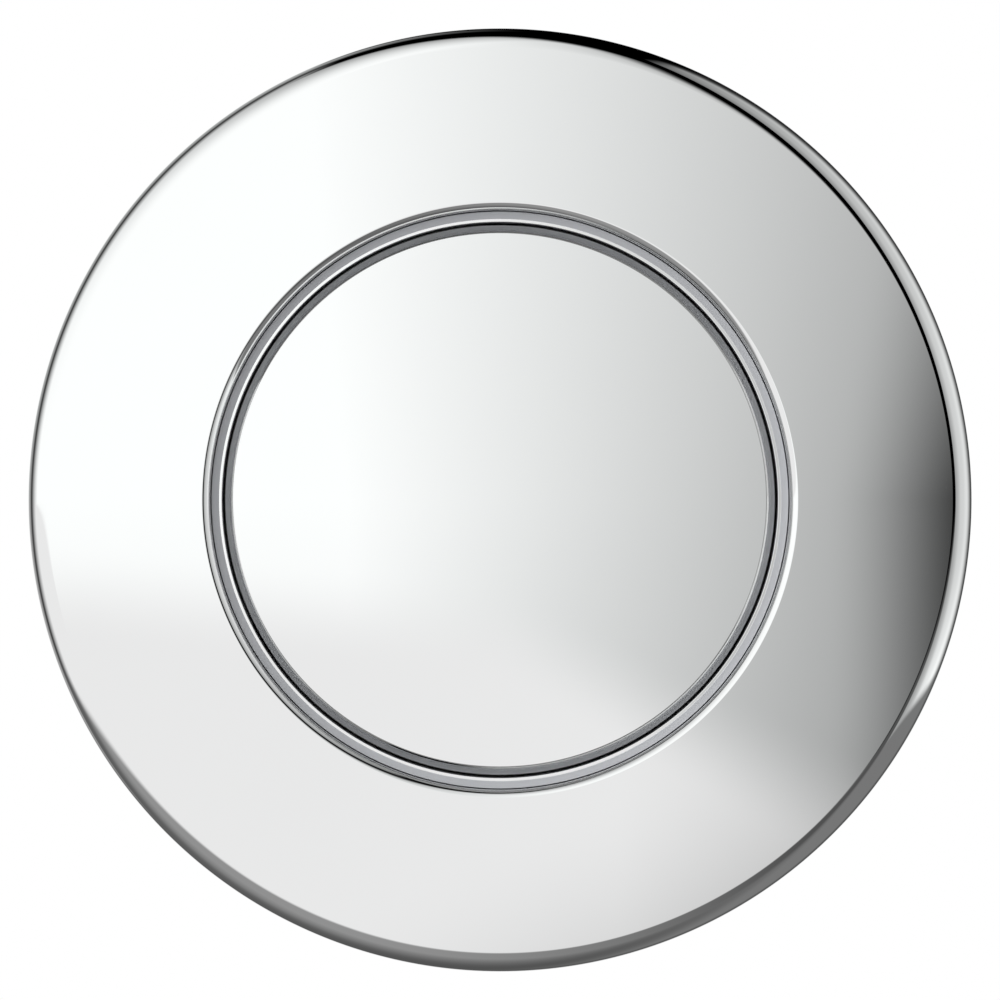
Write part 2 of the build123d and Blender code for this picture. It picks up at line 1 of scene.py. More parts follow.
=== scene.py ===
"""Looks of a round flush plate with one push button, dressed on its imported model.

Sizes are in millimetres and heights count from the wall towards the room. A point at radius r, turn t and
height h sits at x = r cos t, y = -h, z = r sin t; the meshes hold the same numbers in metres.
"""
from math import pi, radians, tan

import bpy
import numpy as np
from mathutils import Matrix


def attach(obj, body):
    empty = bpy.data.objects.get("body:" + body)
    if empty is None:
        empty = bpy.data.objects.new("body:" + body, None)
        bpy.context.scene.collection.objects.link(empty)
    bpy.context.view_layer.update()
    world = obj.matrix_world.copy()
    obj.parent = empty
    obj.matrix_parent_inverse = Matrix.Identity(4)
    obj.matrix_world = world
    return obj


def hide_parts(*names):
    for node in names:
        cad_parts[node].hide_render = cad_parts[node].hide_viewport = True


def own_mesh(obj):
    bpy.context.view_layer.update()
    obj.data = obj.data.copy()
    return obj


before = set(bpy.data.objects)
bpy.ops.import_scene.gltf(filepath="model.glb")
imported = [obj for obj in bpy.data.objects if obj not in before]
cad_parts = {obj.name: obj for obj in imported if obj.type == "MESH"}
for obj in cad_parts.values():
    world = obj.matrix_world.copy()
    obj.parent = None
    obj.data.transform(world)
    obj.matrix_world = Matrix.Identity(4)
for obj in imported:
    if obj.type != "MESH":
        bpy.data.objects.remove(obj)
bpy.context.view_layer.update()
scene = bpy.context.scene
METRES = 0.001

# Button: its cap, bevelled edge, stop lip with keys, and screw posts
BUTTON_R, BUTTON_TRAVEL = 27.35, 7.0
BUTTON_FACE, BUTTON_WALL, CAP_CORNER = 2.0, 1.6, 0.5
EDGE_WIDTH, EDGE_DEPTH, EDGE_ROUND, EDGE_FOOT_ROUND = 0.85, 1.4, 0.1, 0.12
SATIN_START_R = 26.86
LIP_R, LIP_BACK, LIP_TOP, LIP_EDGE = 28.8, 3.2, 4.4, 0.2
KEY_PROJECTION, KEY_WIDTH = 1.4, 4.0
KEY_ANGLES = (90, 210, 330)
POST_R, POST_CIRCLE_R, POST_BACK = 2.4, 18.0, 6.4
POST_ANGLES = (30, 150, 270)

# Trim ring
RING_BORE_R, RING_LAND, RING_R = 27.73, 0.31, 28.79
RING_DROP, RING_SLOPE, RING_EDGE = 2.0, 8.0, 0.04
RING_BACK, RING_FLANGE_EDGE = 7.0, 0.1
LAND_CORNER, LAND_EDGE = 0.05, 0.06

# Cover plate
FACE_H, UNDER_H = 11.0, 9.2
OPENING_R, OPENING_ROUND = 28.84, 0.74
COLLAR_R, COLLAR_BACK, COLLAR_EDGE, COLLAR_CORNER = 30.44, 8.0, 0.2, 0.3
PLATE_R, RIM_ROUND = 47.05, 2.1
SKIRT_R, SKIRT_CORNER, SKIRT_EDGE = 45.25, 0.6, 0.25
BOSS_R, BOSS_CIRCLE_R = 2.6, 35.84
RIB_THICKNESS, RIB_COUNT = 1.2, 8
LUG_WIDTH, LUG_PROJECTION, LUG_LOW, LUG_HIGH = 10.0, 1.0, 4.4, 5.4
SCREW_HOLE_R = 1.15
CORNER_ANGLES = (45, 135, 225, 315)
GASKET_THICKNESS, GASKET_INSET, GASKET_FOOT_EDGE, GASKET_TOP_EDGE = 1.0, 0.3, 0.2, 0.35

# Cup in the wall
CUP_BORE_R, CUP_R, CUP_FLANGE_R = 31.5, 33.3, 35.8
CUP_FLANGE_LOW, CUP_TOP, CUP_FLANGE_CORNER, CUP_FLANGE_EDGE = 1.6, 3.0, 0.15, 0.2
CUP_STEP, CUP_FLOOR, CUP_BACK, CUP_WALL, CUP_ROUND = -4.0, -24.0, -26.0, 1.8, 1.2
CUP_STEP_CORNER, CUP_BORE_EDGE, CUP_FLOOR_CORNER = 0.8, 0.3, 0.1
PUMP_BORE_R, PUMP_R = 26.9, 28.7
CRUSH_RIB_R, CRUSH_RIB_COUNT, CRUSH_RIB_EDGE = 0.8, 6, 0.75
FLOOR_RIB_COUNT, FLOOR_RIB_THICKNESS, FLOOR_RIB_HEIGHT = 6, 1.4, 1.6
FLOOR_RIB_START, FLOOR_RIB_EDGE = 10.0, 0.35
CLAMP_BOSS_R, CLAMP_BOSS_LENGTH, CLAMP_BOSS_EDGE, CLAMP_SCREW_R = 2.5, 3.0, 0.4, 24.3
PIN_MARK_R, PIN_MARK_HEIGHT, PIN_MARK_EDGE, PIN_MARK_CIRCLE_R = 2.0, 0.15, 0.05, 18.5

# Bellows and the spring inside it
BELLOWS_FOOT_R, BELLOWS_FOOT, CREST_R, VALLEY_R = 22.0, 1.8, 18.8, 16.0
BELLOWS_WALL, BELLOWS_TOP, BELLOWS_FOLDS = 1.1, 1.5, 3
PUSHER_BACK = -8.0
SPRING_R, SPRING_WIRE, SPRING_TURNS = 11.3, 1.0, 4.5

# Air outlet; past its last barb the spigot grows back to its full radius
OUTLET_R, OUTLET_HOLE_R = 5.0, 5.1
OUTLET_FLANGE_R, OUTLET_FLANGE, OUTLET_FLANGE_LOW, OUTLET_FLANGE_ROUND = 7.5, 1.5, -22.8, 0.5
OUTLET_THREAD_END, OUTLET_THREAD_DEPTH, OUTLET_PITCH, OUTLET_CHAMFER = -31.2, 0.42, 1.0, 0.3
SPIGOT_R, SPIGOT_LENGTH, SPIGOT_CORNER, SPIGOT_TIP_INSET = 2.1, 13.0, 0.3, 0.1
AIR_BORE_R, TURNED_EDGE = 1.3, 0.1
BARB_COUNT, BARB_PITCH, BARB_DEPTH = 3, 2.6, 0.32
BARB_START, BARB_DROP, BARB_EDGE = 1.9, 0.22, 0.06
GROWTH_START, GROWTH_END = 1.4, 2.0

# Wall screws; DOME_START and the cross's arm, half width and depth are shares of the head
FRAME_THICKNESS = 3.0
WALL_SCREW_X, WALL_SHANK_R, WALL_NECK_R, WALL_CORE_STEP = 38.0, 1.75, 1.3, 0.1
WALL_NECK_LOW, WALL_CORE_HIGH = -0.4, -0.6
WALL_SCREW_LENGTH, WALL_SCREW_TIP, WALL_POINT, WALL_POINT_ROUND = 24.0, 3.0, 4.0, 0.5
WALL_HEAD_R, WALL_HEAD_HEIGHT, WALL_HEAD_CORNER, WALL_DOME = 3.2, 2.1, 0.15, 1.1
DOME_START, DOME_END = 0.98, 0.03
CROSS_ARM, CROSS_HALF_WIDTH, CROSS_DEPTH, CROSS_SLOPE = 0.6, 0.15, 0.55, 0.12
WOOD_THREAD_START, WOOD_THREAD_END, WOOD_PITCH, WOOD_TAPER = 0.4, -1.0, 1.6, 3.6

# Screw ridge, in shares of its height and pitch, and the least that fading and leaning in leave of it
RIDGE_ROOT, RIDGE_FOOT, RIDGE_CREST = 0.15, 0.36, 0.06
RIDGE_FADE, RIDGE_LEAN = 0.05, 0.12

# Edges of added ribs and bosses, and how far they run into the wall that carries them
BAR_EDGE, TUBE_EDGE = 0.25, 0.15
SINK, DEEP_SINK = 0.4, 0.5

# Fineness of the meshes
SEGMENTS, BELLOWS_SEGMENTS, SCREW_SEGMENTS, OUTLET_SEGMENTS, SMALL_SEGMENTS = 360, 180, 120, 96, 64
BAR_SEGMENTS, BAR_EDGE_STEPS, DOME_STEPS, FOLD_STEPS = 32, 5, 64, 24
SPRING_STEPS, WIRE_SEGMENTS, THREAD_STEPS = 360, 16, 40
ARC_STEPS, ARC_STEPS_EACH_MM = 6, 9
GUARD = 0.03
NUDGE = 1e-6
CREASE = radians(32)

# Camera of the photograph, straight in front of the face; its distance is in metres
LENS, SENSOR = 135.0, 36.0
CAMERA_DISTANCE = 0.3721

# Studio, in metres: a floor just below the camera's view, soft lamps, and panels that only metal mirrors
FLOOR_R, FLOOR_FADE_R, FLOOR_LEVEL = 0.28, 0.16, -0.09
FLOOR_RINGS, FLOOR_SEGMENTS = 23, 96
LAMPS = {"key_lamp": ((-0.6, -0.7, 0.7), 6.5), "back_lamp": ((-0.5, 0.85, 0.7), 6.0)}
LAMP_SIZE = 0.5
EVEN_LIGHT, GROUND_LIGHT = 0.42, 1.0
CHROME_SHARE = 1 / 0.93
WHITE, COOL_WHITE = (1.0, 1.0, 1.0), (0.985, 1.0, 0.995)


def rounded(corners):
    """Outline through (radius, height, rounding) corners.

    A rounded corner becomes an arc whose centre lies on the corner's bisector; its points are the two end
    directions of the arc blended by sines. A guard point outside each end keeps the flats beside it flat.
    """
    points = np.array([corner[:2] for corner in corners], float)
    runs = []
    for index, corner in enumerate(corners):
        point = points[index]
        rounding = corner[2] if len(corner) > 2 else 0
        if not rounding:
            runs.append(point[None])
            continue
        before = points[index - 1] - point
        after = points[(index + 1) % len(points)] - point
        before = before / np.linalg.norm(before)
        after = after / np.linalg.norm(after)
        half = np.arccos(before @ after) / 2
        reach = rounding / np.tan(half)
        bisector = (before + after) / np.linalg.norm(before + after)
        centre = point + bisector * rounding / np.sin(half)
        sweep = pi - 2 * half
        share = np.linspace(0, 1, int(ARC_STEPS + ARC_STEPS_EACH_MM * rounding))[:, None]
        start, end = point + before * reach - centre, point + after * reach - centre
        arc = centre + (np.sin((1 - share) * sweep) * start + np.sin(share * sweep) * end) / np.sin(sweep)
        runs.append(np.vstack([point + before * (reach + GUARD), arc, point + after * (reach + GUARD)]))
    return np.vstack(runs)


def grid_points(x, y, z):
    """Points from three coordinates, each spread over the whole grid."""
    return np.stack(np.broadcast_arrays(x, y, z), axis=-1)


def full_turn(segments):
    """Angles that share a full turn equally, in radians."""
    return np.linspace(0, 2 * pi, segments, endpoint=False)


def strip_faces(rows, columns, closed):
    """Four-sided faces between neighbouring rows of points that each run once round."""
    row = np.arange(rows if closed else rows - 1)[:, None]
    column = np.arange(columns)[None]
    beside = (column + 1) % columns
    low, high = row * columns, (row + 1) % rows * columns
    corners = [low + column, low + beside, high + beside, high + column]
    return np.stack(corners, axis=-1).reshape(-1, 4).tolist()


def fan_faces(start, columns, pole):
    """Three-sided faces between a row of points, numbered from start, and a pole."""
    here = np.arange(columns)
    beside = (here + 1) % columns
    return np.stack([start + here, start + beside, np.full(columns, pole)], axis=-1).tolist()


def turned_over(faces):
    """The same faces looking the other way."""
    return [face[::-1] for face in faces]


def turned(outline, segments=SEGMENTS):
    """Surface of revolution: (r, h) of the outline at turn t goes to (r cos t, -h, r sin t).

    An outline that starts and ends on the axis closes in two poles; any other closes on itself.
    """
    radius, height = outline.T
    on_axis = radius[0] < NUDGE and radius[-1] < NUDGE
    if on_axis:
        radius, height = radius[1:-1], height[1:-1]
    turn = full_turn(segments)
    across, level = radius[:, None], height[:, None]
    points = grid_points(across * np.cos(turn), -level, across * np.sin(turn)).reshape(-1, 3)
    faces = strip_faces(len(radius), segments, not on_axis)
    if on_axis:
        first, last = len(points), len(points) + 1
        faces += turned_over(fan_faces(0, segments, first))
        faces += fan_faces((len(radius) - 1) * segments, segments, last)
        points = np.vstack([points, [[0, -outline[0, 1], 0], [0, -outline[-1, 1], 0]]])
    return points, faces


def lofted(rings):
    """Surface through rings of points, given as (ring, point, xyz), with a flat face at each end."""
    count, columns = rings.shape[:2]
    faces = strip_faces(count, columns, False)
    faces.append(list(range(columns))[::-1])
    faces.append(list(range((count - 1) * columns, count * columns)))
    return rings.reshape(-1, 3), faces


def moved(island, right):
    """The same surface shifted along +X."""
    points, faces = island
    return points + np.array([right, 0, 0]), faces


def at_angles(island, angles, radius=0.0):
    """Copies of a surface shifted outwards along +X and turned round the axis by each angle."""
    points, faces = moved(island, radius)
    copies = []
    for angle in np.radians(angles):
        turn = np.array([[np.cos(angle), 0, -np.sin(angle)], [0, 1, 0], [np.sin(angle), 0, np.cos(angle)]])
        copies.append((points @ turn.T, faces))
    return copies


def evenly(count, start=0.0):
    """Angles that share a full turn equally, in degrees."""
    return [start + 360 * index / count for index in range(count)]


def bar(inner, outer, width, low, high, edge=BAR_EDGE):
    """Rounded box along +X: a rounded rectangle, drawn in at both ends and lofted between two heights.

    The nudge keeps the points where the sine is zero on one side of the box.
    """
    turn = full_turn(BAR_SEGMENTS)
    share = np.linspace(0, pi / 2, BAR_EDGE_STEPS)
    inset = np.concatenate([edge * (1 - np.sin(share)), edge * (1 - np.cos(share))])
    level = np.concatenate([low + edge * (1 - np.cos(share)), high - edge * (1 - np.sin(share))])
    half_x = (outer - inner) / 2 - edge
    half_z = width / 2 - edge
    rim = (edge - inset)[:, None]
    x = (inner + outer) / 2 + np.sign(np.cos(turn)) * half_x + rim * np.cos(turn)
    z = np.sign(np.sin(turn + NUDGE)) * half_z + rim * np.sin(turn)
    return lofted(grid_points(x, -level[:, None], z))


def tube(inner, outer, low, high):
    """Small turned ring with slightly rounded corners."""
    corners = [(inner, low), (outer, low), (outer, high), (inner, high)]
    return turned(rounded([(*corner, TUBE_EDGE) for corner in corners]), SMALL_SEGMENTS)


def peg(radius, low, high, edge):
    """Small round peg on the axis with rounded ends."""
    return turned(rounded([(0, low), (radius, low, edge), (radius, high, edge), (0, high)]), SMALL_SEGMENTS)


def swept(path, along, profile):
    """A closed profile (across, axial) carried round the axis along a path of points; the across direction
    points away from the axis and the axial one is square to it and to the path."""
    away = path * np.array([1, 0, 1])
    away = away / np.linalg.norm(away, axis=1, keepdims=True)
    along = along / np.linalg.norm(along, axis=1, keepdims=True)
    axial = np.cross(along, away)
    across_part = profile[..., 0, None] * away[:, None]
    axial_part = profile[..., 1, None] * axial[:, None]
    return lofted(path[:, None] + across_part + axial_part)


def helix(radius, low, high, turns, steps):
    """Points and directions of a screw line: turn and height both grow evenly along it."""
    share = np.linspace(0, 1, steps)
    turn = 2 * pi * turns * share
    height = low + (high - low) * share
    rise = (high - low) / (2 * pi * turns)
    points = grid_points(radius * np.cos(turn), -height, radius * np.sin(turn))
    along = grid_points(-radius * np.sin(turn), -rise, radius * np.cos(turn))
    return points, along


def thread(root, crest, low, high, pitch, taper_low=0.0):
    """Screw ridge: a blunt triangle from root to crest carried along a screw line and faded at both ends.

    Near the low end, over the taper's length, the ridge leans in so that it follows a pointed tip.
    """
    turns = (high - low) / pitch
    points, along = helix(root, low, high, turns, int(turns * THREAD_STEPS))
    share = np.linspace(0, 1, len(points))
    fade = np.clip(np.minimum(share, 1 - share) * turns * 2, RIDGE_FADE, 1)[:, None]
    if taper_low:
        lean = np.clip(share * (high - low) / taper_low, RIDGE_LEAN, 1)
        points = points * grid_points(lean, 1, lean)
    corner_r = np.array([-RIDGE_ROOT, -RIDGE_ROOT, 1.0, 1.0]) * (crest - root)
    corner_h = np.array([-RIDGE_FOOT, RIDGE_FOOT, RIDGE_CREST, -RIDGE_CREST]) * pitch
    profile = np.stack([corner_r * fade, corner_h * fade ** 0.5], axis=-1)
    return swept(points, along, profile)


def ring_land_height():
    """Height of the trim ring's flat land; the face rises from there to the ring's outer edge."""
    rise = (RING_R - RING_BORE_R - RING_LAND) * tan(radians(RING_SLOPE))
    return FACE_H - RING_DROP - rise


def make_piece(name, islands, material, body, slot_name, *replaced):
    """One finished object from several closed surfaces; it rides on a body and stands for CAD nodes."""
    all_points, all_faces, offset = [], [], 0
    for points, faces in islands:
        all_points.append(points)
        all_faces += [[corner + offset for corner in face] for face in faces]
        offset += len(points)
    mesh = bpy.data.meshes.new(name)
    mesh.from_pydata(np.vstack(all_points) * METRES, [], all_faces)
    mesh.polygons.foreach_set("use_smooth", np.ones(len(mesh.polygons), bool))
    mesh.set_sharp_from_angle(angle=CREASE)
    mesh.materials.append(material)
    piece = bpy.data.objects.new(name, mesh)
    scene.collection.objects.link(piece)
    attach(piece, body)
    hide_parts(*replaced)
    return piece


class Field:
    """A value that varies over a surface or over the studio; arithmetic on it adds the math nodes."""

    def __init__(self, tree, socket):
        self.tree = tree
        self.socket = socket

    def feed(self, slot, value):
        """Links a field to a node's input, or sets a plain number there."""
        if isinstance(value, Field):
            self.tree.links.new(value.socket, slot)
        else:
            slot.default_value = value

    def math(self, operation, *values):
        """Result of one operation on fields and plain numbers."""
        node = self.tree.nodes.new("ShaderNodeMath")
        node.operation = operation
        for slot, value in zip(node.inputs, values):
            self.feed(slot, value)
        return Field(self.tree, node.outputs[0])

    def __add__(self, other):
        return self.math("ADD", self, other)

    def __radd__(self, other):
        return self.math("ADD", other, self)

    def __sub__(self, other):
        return self.math("SUBTRACT", self, other)

    def __rsub__(self, other):
        return self.math("SUBTRACT", other, self)

    def __mul__(self, other):
        return self.math("MULTIPLY", self, other)

    def __rmul__(self, other):
        return self.math("MULTIPLY", other, self)

    def __truediv__(self, other):
        return self.math("DIVIDE", self, other)

    def __pow__(self, other):
        return self.math("POWER", self, other)

    def at_least(self, other):
        return self.math("MAXIMUM", self, other)

    def at_most(self, other):
        return self.math("MINIMUM", self, other)

    def sine(self):
        return self.math("SINE", self)

    def smooth(self, start, end):
        """0 before start, 1 after end, with a soft rise between them."""
        node = self.tree.nodes.new("ShaderNodeMapRange")
        node.interpolation_type = "SMOOTHSTEP"
        self.feed(node.inputs["Value"], self)
        self.feed(node.inputs["From Min"], start)
        self.feed(node.inputs["From Max"], end)
        return Field(self.tree, node.outputs["Result"])

    def past(self, size, before, after):
        """0 below a size plus a first margin, 1 above it plus a second one, all in millimetres."""
        return self.smooth((size + before) * METRES, (size + after) * METRES)

    def graph(self, *stops, shift=0.0):
        """Broken line through (input, output) stops, level outside them.

        The node holds no values below 0, so a negative shift is taken off first and added again after it.
        """
        first, last = stops[0][0], stops[-1][0]
        share = (self - first) * (1 / (last - first))
        node = self.tree.nodes.new("ShaderNodeValToRGB")
        elements = node.color_ramp.elements
        for index, (place, value) in enumerate(stops):
            position = (place - first) / (last - first)
            if index > 1:
                elements.new(position)
            elements[index].position = position
            elements[index].color = (value - shift, value - shift, value - shift, 1)
        self.feed(node.inputs["Fac"], share)
        line = Field(self.tree, node.outputs["Color"])
        return line + shift if shift else line

    def towards(self, other, share):
        """This value where share is 0, the other one where share is 1."""
        return self + (other - self) * share

    def parts(self):
        """The three parts of a vector."""
        node = self.tree.nodes.new("ShaderNodeSeparateXYZ")
        self.feed(node.inputs["Vector"], self)
        return [Field(self.tree, output) for output in node.outputs]

    def noise(self, patches, detail, stretch=(1, 1, 1)):
        """Cloudy pattern around one half with so many patches to the metre, stretched along the axes."""
        mapping = self.tree.nodes.new("ShaderNodeMapping")
        mapping.inputs["Scale"].default_value = stretch
        self.feed(mapping.inputs["Vector"], self)
        node = self.tree.nodes.new("ShaderNodeTexNoise")
        node.inputs["Scale"].default_value = patches
        node.inputs["Detail"].default_value = detail
        self.tree.links.new(mapping.outputs["Vector"], node.inputs["Vector"])
        return Field(self.tree, node.outputs["Fac"])

    def cells(self, count):
        """Distance to the nearest of scattered points, so many to the metre."""
        node = self.tree.nodes.new("ShaderNodeTexVoronoi")
        node.inputs["Scale"].default_value = count
        self.feed(node.inputs["Vector"], self)
        return Field(self.tree, node.outputs["Distance"])

    def colours(self, first, second):
        """Colour that goes from the first to the second as this value goes from 0 to 1."""
        node = self.tree.nodes.new("ShaderNodeMix")
        node.data_type = "RGBA"
        self.feed(node.inputs["Factor"], self)
        for name, colour in (("A", first), ("B", second)):
            slot = [socket for socket in node.inputs if socket.name == name and socket.type == "RGBA"][0]
            self.feed(slot, colour if isinstance(colour, Field) else (*colour, 1))
        output = [socket for socket in node.outputs if socket.type == "RGBA"][0]
        return Field(self.tree, output)


def new_finish(name, metal=False):
    """A fresh material with its shader and the place on the piece that its patterns follow."""
    material = bpy.data.materials.new(name)
    material.use_nodes = True
    tree = material.node_tree
    shader = tree.nodes["Principled BSDF"]
    shader.inputs["Metallic"].default_value = 1.0 if metal else 0.0
    place = Field(tree, tree.nodes.new("ShaderNodeTexCoord").outputs["Object"])
    return material, shader, place


def apply_finish(shader, colour, roughness, height, depth):
    """Feeds colour, roughness and a fine relief of that depth in metres into a shader."""
    tree = colour.tree
    tree.links.new(colour.socket, shader.inputs["Base Color"])
    tree.links.new(roughness.socket, shader.inputs["Roughness"])
    bump = tree.nodes.new("ShaderNodeBump")
    bump.inputs["Strength"].default_value = 1.0
    bump.inputs["Distance"].default_value = depth
    tree.links.new(height.socket, bump.inputs["Height"])
    tree.links.new(bump.outputs["Normal"], shader.inputs["Normal"])


def radius_and_height(place):
    """Distance of a place on the piece from the object's axis, and its height over the wall, in metres."""
    right, away, up = place.parts()
    return (right * right + up * up) ** 0.5, -1 * away


def polished_colour(haze):
    """Mirror chrome, a little lighter where the haze is thick."""
    return haze.colours((0.922, 0.925, 0.926), (0.938, 0.94, 0.94))


def polished_roughness(place):
    """Almost a mirror, with a faint smear of wiping."""
    return 0.012 + 0.014 * place.noise(420, 4)


def plate_chrome():
    """Cover plate: mirror chrome with a faint haze of wiping; its hollow back is dull and a little cloudy."""
    material, shader, place = new_finish("plate_chrome", metal=True)
    radius, height = radius_and_height(place)
    inside = (1 - radius.past(SKIRT_R, -0.02, 0.05)) * radius.past(OPENING_R, 0.02, 0.1)
    dull = inside * (1 - height.past(UNDER_H, 0.1, 0.3))
    grain = place.noise(5200, 3)
    clouds = place.noise(150, 4)
    cloudy_colour = clouds.colours((0.42, 0.425, 0.43), (0.55, 0.555, 0.56))
    colour = dull.colours(polished_colour(place.noise(70, 3)), cloudy_colour)
    roughness = polished_roughness(place).towards(0.4 + 0.25 * clouds, dull)
    apply_finish(shader, colour, roughness, 0.02 * place.noise(90, 1) + grain * dull, 7.5e-6)
    return material


def ring_chrome():
    """Trim ring: the flat land at the bore is polished, the leaning face and the walls are satin."""
    material, shader, place = new_finish("ring_chrome", metal=True)
    radius, height = radius_and_height(place)
    land = 1 - radius.past(RING_BORE_R + RING_LAND, -0.02, 0.05)
    satin = 1 - land * height.past(ring_land_height(), -0.08, -0.04)
    grain = place.noise(9000, 2)
    satin_colour = place.noise(160, 3).colours((0.815, 0.823, 0.857), (0.845, 0.853, 0.887))
    colour = satin.colours((0.93, 0.93, 0.93), satin_colour)
    roughness = (0.02 + 0.01 * grain).towards(0.5 + 0.06 * grain, satin)
    apply_finish(shader, colour, roughness, grain * satin, 1.2e-6)
    return material


def button_chrome():
    """Button cap: polished, with a satin lower half of the bevel; round the lip, deep in the gap, it is
    duller and its colour is painted dark as shade.
    """
    material, shader, place = new_finish("button_chrome", metal=True)
    radius, height = radius_and_height(place)
    satin = radius.past(SATIN_START_R, -0.05, 0.05) * height.past(FACE_H - EDGE_DEPTH, -0.1, 0.0)
    dull_lip_painted_shade = 1 - height.past(LIP_TOP, 0.6, 1.8)
    haze = place.noise(70, 3)
    grain = place.noise(9000, 2)
    colour = satin.colours(polished_colour(haze), haze.colours((0.77, 0.778, 0.79), (0.8, 0.808, 0.82)))
    # painted shade: the lip and the low wall, deep in the gap between button and ring, are painted dark; the
    # higher roughness there is a dull finish
    colour = dull_lip_painted_shade.colours(colour, haze.colours((0.15, 0.15, 0.155), (0.22, 0.22, 0.225)))
    roughness = polished_roughness(place).towards(0.44 + 0.06 * grain, satin.at_least(dull_lip_painted_shade))
    apply_finish(shader, colour, roughness, 0.15 * place.noise(90, 1) + 0.3 * grain * satin, 1e-6)
    return material


def moulded_plastic(name, dark, light, gloss):
    """Injection-moulded plastic: soft cloudiness, an eroded grain and a gloss that varies a little."""
    material, shader, place = new_finish(name)
    clouds = place.noise(55, 4)
    grain = place.noise(4200, 2)
    flow = place.noise(240, 2, (1, 0.15, 1))
    colour = (0.6 * clouds + 0.4 * flow).colours(dark, light)
    roughness = gloss + 0.12 * (grain - 0.5) + 0.08 * (clouds - 0.5)
    apply_finish(shader, colour, roughness, grain + 0.6 * flow, 1.4e-5)
    return material


def soft_rubber(name, dark, light):
    """Moulded rubber with a dusty bloom and a dull skin."""
    material, shader, place = new_finish(name)
    bloom = place.noise(130, 5)
    skin = place.noise(2600, 3)
    colour = bloom.smooth(0.35, 0.8).colours(dark, light)
    roughness = 0.58 + 0.22 * (bloom - 0.5) + 0.1 * (skin - 0.5)
    apply_finish(shader, colour, roughness, skin, 2.5e-5)
    return material


def closed_cell_foam():
    """Grey foam: small cells as dents, with painted shade that darkens them towards their depth."""
    material, shader, place = new_finish("closed_cell_foam")
    cells = place.cells(2600)
    tone = place.noise(180, 3)
    # painted shade: the colour darkens towards each cell's middle, where its dent is deepest
    colour = (cells * 1.2 + 0.4 * tone).at_most(1.0).colours((0.045, 0.047, 0.05), (0.13, 0.132, 0.138))
    roughness = 0.85 + 0.1 * (tone - 0.5)
    apply_finish(shader, colour, roughness, cells, 9e-5)
    return material


def zinc_steel():
    """Zinc-plated steel: bluish patches from the bath, fine scratches and a semi-bright gloss."""
    material, shader, place = new_finish("zinc_steel", metal=True)
    patches = place.noise(420, 4)
    scratches = place.noise(2400, 3, (1, 0.12, 1))
    colour = patches.smooth(0.3, 0.7).colours((0.53, 0.55, 0.58), (0.68, 0.68, 0.66))
    roughness = 0.26 + 0.2 * (patches - 0.5) + 0.12 * (scratches - 0.5)
    apply_finish(shader, colour, roughness, scratches, 5e-6)
    return material


def spring_steel():
    """Drawn and tempered steel: dark straw tint with streaks."""
    material, shader, place = new_finish("spring_steel", metal=True)
    temper = place.noise(300, 3)
    streaks = place.noise(3000, 2, (1, 0.2, 1))
    colour = temper.colours((0.36, 0.35, 0.34), (0.5, 0.48, 0.45))
    roughness = 0.3 + 0.15 * (streaks - 0.5)
    apply_finish(shader, colour, roughness, streaks, 4e-6)
    return material


def turned_brass():
    """Brass from the lathe: fine tool rings along the axis and a little tarnish."""
    material, shader, place = new_finish("turned_brass", metal=True)
    _, along, _ = place.parts()
    rings = 0.5 + 0.5 * ((along + place.noise(500, 2) * 4e-5) * 42000).sine()
    tarnish = place.noise(320, 4)
    colour = tarnish.smooth(0.35, 0.75).colours((0.83, 0.62, 0.31), (0.66, 0.45, 0.2))
    roughness = 0.22 + 0.07 * rings + 0.16 * (tarnish - 0.5)
    apply_finish(shader, colour, roughness, rings, 3e-6)
    return material


def pale_floor():
    """Pale paper that fades out towards its edge, so that the ground has no border."""
    material, shader, place = new_finish("pale_floor")
    right, away, _ = place.parts()
    radius = (right * right + away * away) ** 0.5
    tone = place.noise(12, 3).colours((0.86, 0.86, 0.855), (0.9, 0.9, 0.895))
    apply_finish(shader, tone, 0.7 + 0.1 * place.noise(200, 2), place.noise(900, 2), 2e-5)
    alpha = 1 - radius.smooth(FLOOR_FADE_R, FLOOR_R)
    alpha.feed(shader.inputs["Alpha"], alpha)
    return material


PLATE = plate_chrome()
RING = ring_chrome()
BUTTON = button_chrome()
LIGHT_PLASTIC = moulded_plastic("frame_plastic", (0.5, 0.505, 0.5), (0.6, 0.602, 0.59), 0.4)
GREY_PLASTIC = moulded_plastic("housing_plastic", (0.17, 0.176, 0.182), (0.245, 0.252, 0.26), 0.34)
BLACK_PLASTIC = moulded_plastic("guide_plastic", (0.01, 0.01, 0.011), (0.018, 0.018, 0.02), 0.7)
WHITE_PLASTIC = moulded_plastic("carrier_plastic", (0.74, 0.735, 0.71), (0.82, 0.815, 0.79), 0.42)
RUBBER = soft_rubber("bellows_rubber", (0.014, 0.014, 0.015), (0.05, 0.05, 0.052))
FOAM = closed_cell_foam()
ZINC = zinc_steel()
SPRING = spring_steel()
BRASS = turned_brass()


